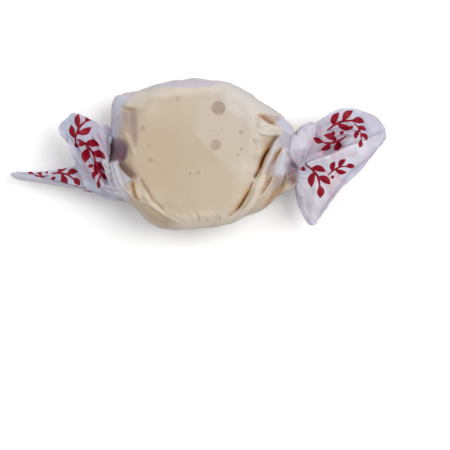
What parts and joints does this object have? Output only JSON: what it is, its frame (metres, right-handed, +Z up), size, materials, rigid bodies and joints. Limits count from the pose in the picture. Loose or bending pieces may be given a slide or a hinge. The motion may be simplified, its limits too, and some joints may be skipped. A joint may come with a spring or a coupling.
{
  "type": "taffy",
  "caption": "Soft taffy tablet in a translucent waxed-paper wrapper, twisted shut at both sides with fanned paper ends.",
  "frame": {"origin": "on the surface that the taffy lies on, under the middle of its broad face", "axes": "+X along the twist to the broad fan, +Y across the tablet, +Z up out of the broad face"},
  "size_m": [0.0802, 0.0319, 0.014],
  "materials": {
    "waxed_paper": "satin, translucent, lilac white, with red printed strokes",
    "taffy_cream": "satin cream"
  },
  "bodies": {
    "root": {"wrapper": "waxed_paper", "taffy": "taffy_cream"}
  },
  "joints": []
}
